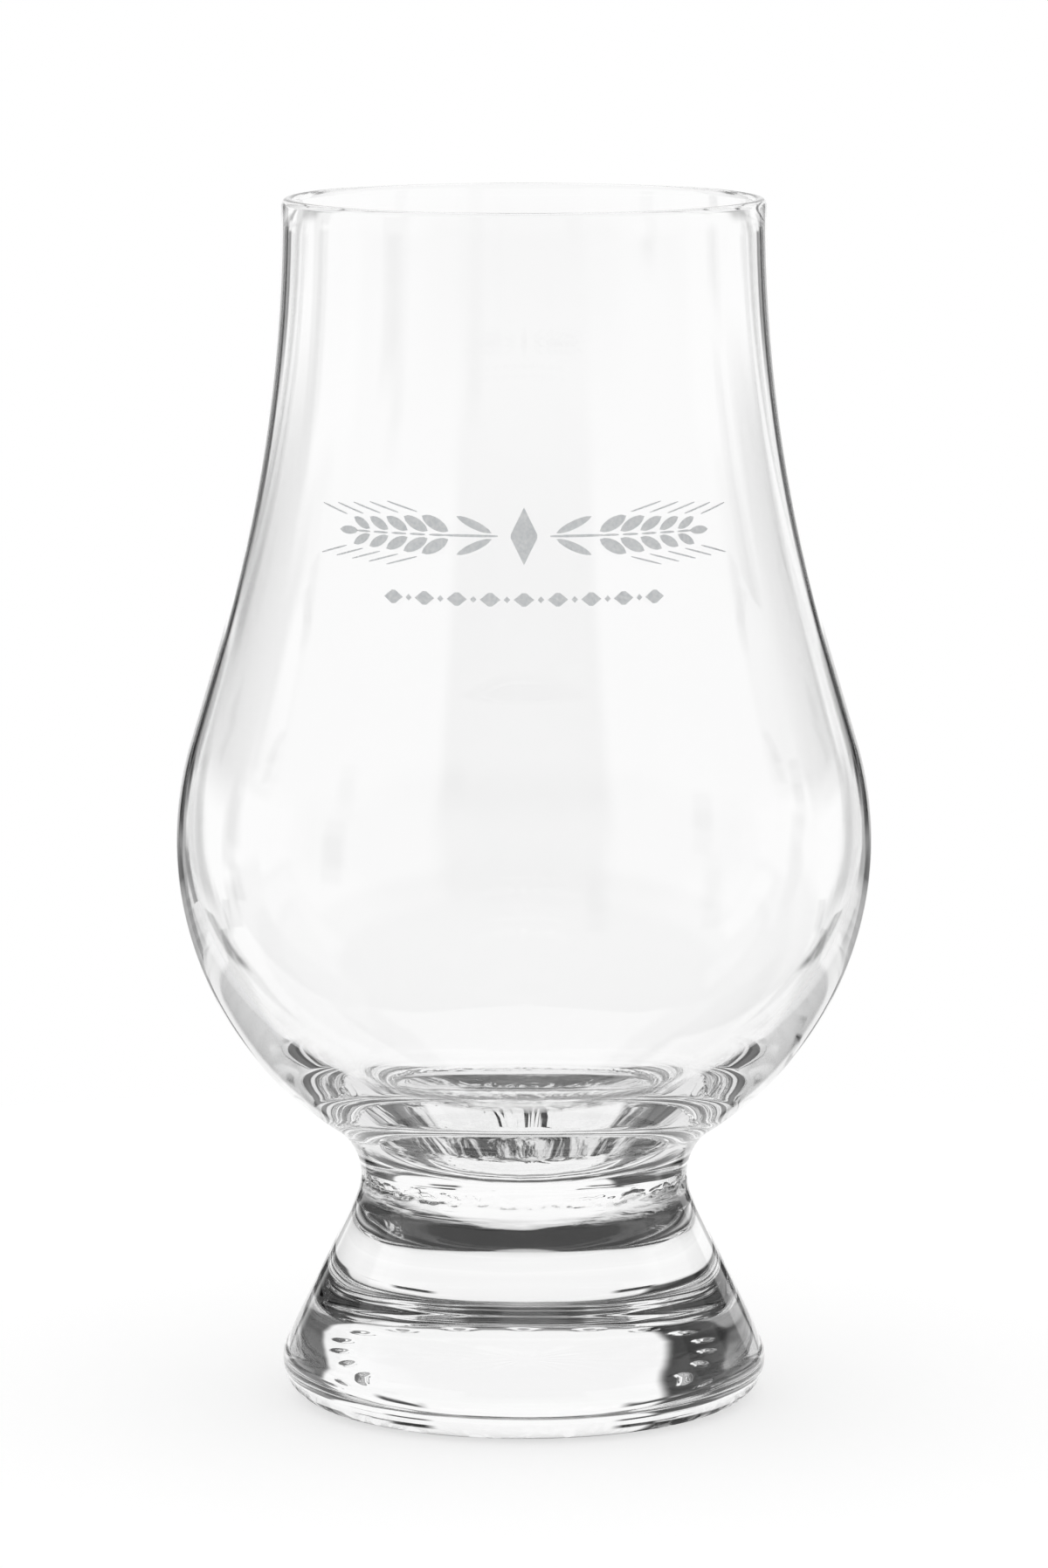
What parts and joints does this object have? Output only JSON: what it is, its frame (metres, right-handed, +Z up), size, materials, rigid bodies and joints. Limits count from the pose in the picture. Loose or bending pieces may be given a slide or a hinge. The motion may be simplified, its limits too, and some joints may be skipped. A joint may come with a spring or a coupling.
{
  "type": "whisky nosing glass",
  "caption": "Clear crystal nosing glass: a tulip bowl with a tapered throat, fused at the neck onto a short solid flared foot.",
  "frame": {"origin": "centre of the flat ring that the glass stands on", "axes": "+Z up along the axis of the glass, towards the rim; the etched ornament faces -Y"},
  "size_m": [0.0662, 0.0662, 0.115],
  "materials": {
    "clear_crystal": "fire-polished, colourless and clear",
    "etched_crystal": "frosted by etching, matt and pale grey"
  },
  "bodies": {
    "root": {"bowl": "clear_crystal", "foot": "clear_crystal"}
  },
  "joints": []
}
